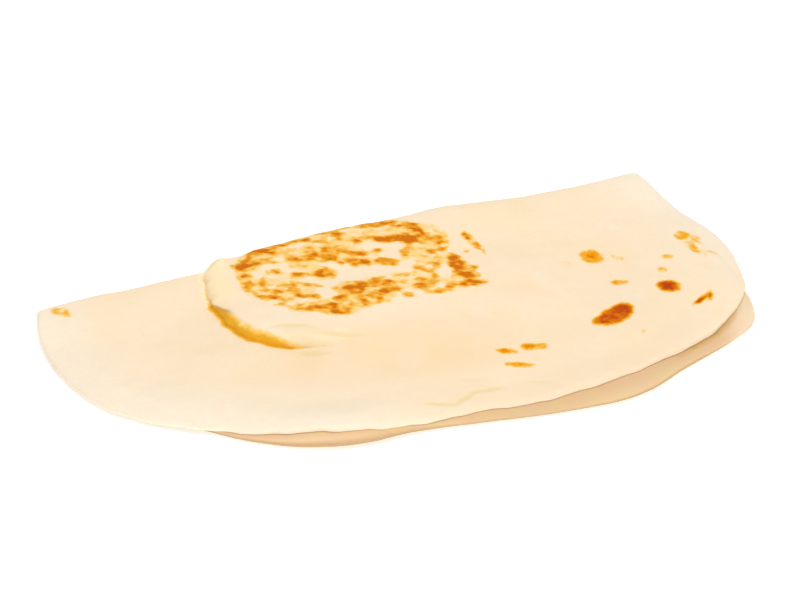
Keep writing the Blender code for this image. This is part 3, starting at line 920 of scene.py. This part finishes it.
class Shader:
    """A material whose nodes are made and linked by short calls."""

    def __init__(self, name):
        self.material = bpy.data.materials.new(name)
        self.material.use_nodes = True
        self.tree = self.material.node_tree
        self.surface = self.tree.nodes["Principled BSDF"]

    def node(self, kind, inputs=None, **settings):
        node = self.tree.nodes.new(kind)
        for name, value in settings.items():
            setattr(node, name, value)
        for socket, value in (inputs or {}).items():
            self.put(node.inputs[socket], value)
        return node

    def put(self, socket, value):
        if isinstance(value, bpy.types.NodeSocket):
            self.tree.links.new(value, socket)
        else:
            socket.default_value = value

    def field(self, name):
        return self.node("ShaderNodeAttribute", attribute_name=name).outputs["Fac"]

    def noise(self, scale, detail=3.0, roughness=0.55, seed=0.0, stretch=1.0):
        """Soft noise from about 0 to 1. The seed moves it, and the stretch draws it out along the streaks."""
        place = self.node("ShaderNodeTexCoord").outputs["Object"]
        place = self.node("ShaderNodeMapping", {
            "Vector": place,
            "Location": (seed, seed * 0.7, seed * 0.3),
            "Rotation": (0.0, 0.0, -STREAK_TURN),
            "Scale": (stretch, 1.0, 1.0),
        }, vector_type="TEXTURE").outputs[0]
        inputs = {"Vector": place, "Scale": scale, "Detail": detail, "Roughness": roughness}
        return self.node("ShaderNodeTexNoise", inputs).outputs["Fac"]

    def uneven(self, strength, *noise, **more):
        """Noise about 0, from minus half to half of the strength."""
        return self.times(self.math("SUBTRACT", self.noise(*noise, **more), 0.5), strength)

    def math(self, operation, first, second):
        return self.node("ShaderNodeMath", {0: first, 1: second}, operation=operation).outputs[0]

    def plus(self, first, second):
        return self.math("ADD", first, second)

    def times(self, first, second):
        return self.math("MULTIPLY", first, second)

    def rise(self, value, start, end, low=0.0, high=1.0):
        inputs = {"Value": value, "From Min": start, "From Max": end, "To Min": low, "To Max": high}
        return self.node("ShaderNodeMapRange", inputs, interpolation_type="SMOOTHSTEP").outputs["Result"]

    def torn(self, field, noise, start, end):
        """The field with the noise added to it where the field isn't near 0."""
        return self.plus(field, self.times(noise, self.rise(field, start, end)))

    def mix(self, share, first, second):
        node = self.node("ShaderNodeMix", data_type="RGBA")
        self.put(node.inputs["Factor"], share)
        self.put(node.inputs[6], first)
        self.put(node.inputs[7], second)
        return node.outputs[2]

    def tint(self, colour, name, depth, second):
        """The colour with the second one over it, to that depth where the field is 1."""
        return self.mix(self.times(self.field(name), depth), colour, second)

    def ramp(self, value, stops):
        node = self.node("ShaderNodeValToRGB", {"Fac": value})
        elements = node.color_ramp.elements
        elements[0].position, elements[0].color = stops[0]
        elements[1].position, elements[1].color = stops[-1]
        for position, colour in stops[1:-1]:
            elements.new(position).color = colour
        return node.outputs["Color"]


def paint(red, green, blue):
    """Surface colour that looks like that sRGB colour, from 0 to 255, under the studio light."""
    def linear(value):
        value = value / 255
        return value / 12.92 if value <= 0.04045 else ((value + 0.055) / 1.055) ** 2.4
    return tuple(linear(value) / LIT for value in (red, green, blue)) + (1.0,)


def floury_crust(sh):
    """Pale baked dough with yellower, floury and freckled places, and its borders along the free edges."""
    crust = sh.mix(sh.rise(sh.noise(14.0, 2.0), 0.35, 0.65), paint(252, 231, 201), paint(252, 229, 194))
    crust = sh.mix(sh.rise(sh.noise(45.0, seed=3.0), 0.52, 0.75, 0.0, 0.5), crust, paint(252, 224, 182))
    crust = sh.mix(sh.rise(sh.noise(70.0, seed=8.0), 0.55, 0.8, 0.0, 0.5), crust, paint(254, 238, 217))
    sandy = sh.times(sh.field("sandy"), sh.rise(sh.noise(60.0, seed=14.0), 0.3, 0.7, 0.45, 1.0))
    crust = sh.mix(sandy, crust, paint(252, 222, 178))
    crust = sh.tint(crust, "border", 0.75, paint(252, 238, 217))
    # painted shade along the upper leaf's front, where its edge slopes away from the light
    crust = sh.tint(crust, "front_shade", 0.55, paint(245, 219, 186))
    return sh.mix(sh.rise(sh.noise(420.0, 2.0, seed=5.0), 0.45, 0.8, 0.0, 0.3), crust, paint(250, 223, 184))


def leaf_edges(sh, crust):
    """The crust with the tan inner face (partly painted shade), the painted shade of the lower leaf's rim, the
    painted shade and shadow beside the upper leaf's edge, and painted light under its rim.
    """
    tan = sh.mix(sh.rise(sh.noise(50.0, seed=9.0), 0.35, 0.65), paint(242, 208, 162), paint(240, 213, 164))
    # the tan is partly the inner side's own bake and partly painted shade
    crust = sh.mix(sh.rise(sh.field("inside"), 0.35, 0.95), crust, tan)
    # painted shade along the lower leaf's rim, where it turns under towards the floor
    crust = sh.tint(crust, "lower_rim_shade", 0.9, paint(196, 160, 118))
    olive = sh.rise(sh.noise(120.0, seed=27.0), 0.40, 0.65)
    # painted shade on the lower leaf under the upper leaf's edge
    crust = sh.tint(crust, "under_edge_shade", 0.75, sh.mix(olive, paint(225, 181, 142), paint(222, 188, 134)))
    # painted shadow of the upper leaf's edge on the lower leaf
    crust = sh.tint(crust, "edge_shade", 0.9, sh.mix(olive, paint(214, 168, 110), paint(198, 162, 88)))
    # painted light on the shaded underside of the upper leaf's rim
    return sh.tint(crust, "upper_lip_light", 1.0, (0.88, 0.75, 0.58, 1.0))


def blister_side(sh, crust):
    """The crust with the painted warm light of the blister's steep side and groove, the torn gold at its foot
    (partly painted light), and the painted shade under its lip and in the pressed wrinkles.
    """
    # painted warm light in the shade of the blister's steep left side
    crust = sh.tint(crust, "wall", 0.6, (0.92, 0.73, 0.43, 1.0))
    # painted light in the groove at the wall's foot, which would otherwise fall dark
    crust = sh.tint(crust, "groove", 1.0, (0.98, 0.82, 0.52, 1.0))
    # gold in the crease: its own bake with painted warm light in its shade; the last stop stays light against
    # the crease's shade
    gold = sh.torn(sh.field("crease"), sh.uneven(0.8, 330.0, 3.0, 0.6, seed=11.0), 0.02, 0.3)
    crust = sh.mix(sh.rise(gold, 0.02, 0.32), crust, paint(253, 208, 112))
    crust = sh.mix(sh.rise(gold, 0.28, 0.65), crust, paint(241, 176, 44))
    crust = sh.mix(sh.rise(gold, 0.80, 1.00), crust, paint(246, 184, 48))
    # painted shade under the blister's overhanging lip
    crust = sh.tint(crust, "lip_shade_line", 0.75, paint(210, 146, 20))
    # painted shade in and beside the pressed wrinkles
    return sh.tint(crust, "wrinkle", 0.62, paint(237, 214, 150))


def browned_patch(sh, crust):
    """The crust with the yellow haze and the ragged browned blotches, and how deep the browning is."""
    ragged = sh.plus(
        sh.uneven(2.1, 310.0, 1.5, 0.5, seed=2.0, stretch=1.4),
        sh.uneven(0.22, 900.0, 2.0, 0.6, seed=21.0, stretch=1.2),
    )
    haze = sh.field("haze")
    faint = sh.plus(sh.uneven(2.2, 190.0, 3.0, 0.6, seed=17.0, stretch=1.3), sh.times(ragged, 0.25))
    yellow = sh.rise(sh.torn(haze, faint, 0.02, 0.4), 0.15, 0.80, 0.0, 0.90)
    crust = sh.mix(yellow, crust, paint(254, 214, 134))

    scorch = sh.field("scorch")
    depth = sh.plus(sh.times(scorch, 0.74), sh.times(haze, 0.20))
    reach = sh.rise(sh.plus(scorch, sh.times(haze, 0.45)), 0.02, 0.50)
    scorch = sh.math("MINIMUM", sh.plus(depth, sh.times(ragged, reach)), 0.93)
    browned = sh.ramp(scorch, (
        (0.06, paint(254, 222, 158)),
        (0.20, paint(252, 209, 126)),
        (0.34, paint(249, 195, 98)),
        (0.48, paint(245, 180, 70)),
        (0.62, paint(239, 163, 42)),
        (0.76, paint(231, 144, 16)),
        (0.90, paint(219, 121, 2)),
        (1.00, paint(200, 88, 0)),
    ))
    return sh.mix(sh.rise(scorch, 0.05, 0.28), crust, browned), scorch


def scorched_spots(sh, crust):
    """The crust with the loose scorched spots, and how deep the scorching is."""
    spot = sh.torn(sh.field("spot"), sh.uneven(1.0, 300.0, 3.0, 0.6, seed=31.0), 0.02, 0.28)
    spotted = sh.ramp(spot, (
        (0.06, paint(253, 226, 172)),
        (0.22, paint(251, 206, 118)),
        (0.38, paint(248, 184, 62)),
        (0.54, paint(244, 162, 6)),
        (0.70, paint(229, 126, 0)),
        (0.86, paint(212, 98, 0)),
        (1.00, paint(186, 66, 0)),
    ))
    return sh.mix(sh.rise(spot, 0.02, 0.36), crust, spotted), spot


def crust_material():
    """Pale baked dough with golden and scorched places, a fine grain and small pits."""
    sh = Shader("baked_dough")
    crust = blister_side(sh, leaf_edges(sh, floury_crust(sh)))
    crust, scorch = browned_patch(sh, crust)
    crust, spot = scorched_spots(sh, crust)
    burn = sh.math("MAXIMUM", scorch, spot)

    grain = sh.times(sh.noise(900.0, 3.0, 0.6, seed=4.0), 0.35)
    pits = sh.noise(170.0, 3.0, 0.5, seed=6.0)
    height = sh.plus(sh.plus(grain, pits), sh.times(burn, 0.4))
    bump = sh.node("ShaderNodeBump", {"Height": height, "Strength": 0.35, "Distance": 0.0004})

    sh.put(sh.surface.inputs["Base Color"], crust)
    sh.put(sh.surface.inputs["Normal"], bump.outputs["Normal"])
    sh.put(sh.surface.inputs["Roughness"], sh.rise(burn, 0.2, 0.9, 0.78, 0.6))
    sh.put(sh.surface.inputs["Specular IOR Level"], 0.05)
    sh.put(sh.surface.inputs["Subsurface Weight"], 0.12)
    sh.put(sh.surface.inputs["Subsurface Radius"], (1.0, 0.55, 0.3))
    sh.put(sh.surface.inputs["Subsurface Scale"], 0.0012)
    return sh.material


def make_bread():
    bread = bpy.data.objects.new("lavash", bread_mesh())
    bpy.context.scene.collection.objects.link(bread)
    bread.data.materials.append(crust_material())
    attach(bread, "root")
    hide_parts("bread")


def make_floor():
    """A plain white floor under and far round the bread, which gives off a little light of its own."""
    mesh = bpy.data.meshes.new("studio_floor")
    corners = [(x * FLOOR_HALF, y * FLOOR_HALF, 0.0) for x, y in ((-1, -1), (1, -1), (1, 1), (-1, 1))]
    mesh.from_pydata(corners, [], [(0, 1, 2, 3)])
    floor = bpy.data.objects.new("studio_floor", mesh)
    floor.location.z = -FLOOR_DROP
    bpy.context.scene.collection.objects.link(floor)
    sh = Shader("studio_white")
    sh.put(sh.surface.inputs["Base Color"], (0.96, 0.96, 0.96, 1.0))
    sh.put(sh.surface.inputs["Emission Color"], (1.0, 1.0, 1.0, 1.0))
    sh.put(sh.surface.inputs["Emission Strength"], FLOOR_GLOW)
    sh.put(sh.surface.inputs["Roughness"], 0.9)
    sh.put(sh.surface.inputs["Specular IOR Level"], 0.0)
    mesh.materials.append(sh.material)


def add_softbox(name, place, size, energy):
    """A large round soft lamp that points at the bread."""
    lamp = bpy.data.lights.new(name, "AREA")
    lamp.shape = "DISK"
    lamp.size = size
    lamp.energy = energy
    softbox = bpy.data.objects.new(name, lamp)
    softbox.location = place
    softbox.rotation_euler = (-Vector(place)).to_track_quat("-Z", "Y").to_euler()
    bpy.context.scene.collection.objects.link(softbox)


def make_light():
    """A bright white surround, a large soft lamp above, and a low one in front that fills the shadows."""
    world = bpy.data.worlds.new("studio")
    world.use_nodes = True
    surround = world.node_tree.nodes["Background"].inputs
    surround["Color"].default_value = (1.0, 1.0, 1.0, 1.0)
    surround["Strength"].default_value = SURROUND_STRENGTH
    bpy.context.scene.world = world
    for softbox in SOFTBOXES:
        add_softbox(*softbox)


def make_camera():
    """The photograph's camera: in front and to the left of the bread, looking down on it."""
    back = Vector((
        math.sin(CAMERA_AZIMUTH) * math.cos(CAMERA_ELEVATION),
        -math.cos(CAMERA_AZIMUTH) * math.cos(CAMERA_ELEVATION),
        math.sin(CAMERA_ELEVATION),
    ))
    data = bpy.data.cameras.new("camera")
    data.lens = CAMERA_LENS
    data.sensor_width = CAMERA_SENSOR
    data.clip_end = CAMERA_CLIP_END
    camera = bpy.data.objects.new("camera", data)
    camera.location = Vector(CAMERA_TARGET) + back * CAMERA_DISTANCE
    camera.rotation_euler = (-back).to_track_quat("-Z", "Y").to_euler()
    bpy.context.scene.collection.objects.link(camera)
    bpy.context.scene.camera = camera


make_bread()
make_floor()
make_light()
make_camera()
bpy.context.scene.view_settings.view_transform = "Standard"
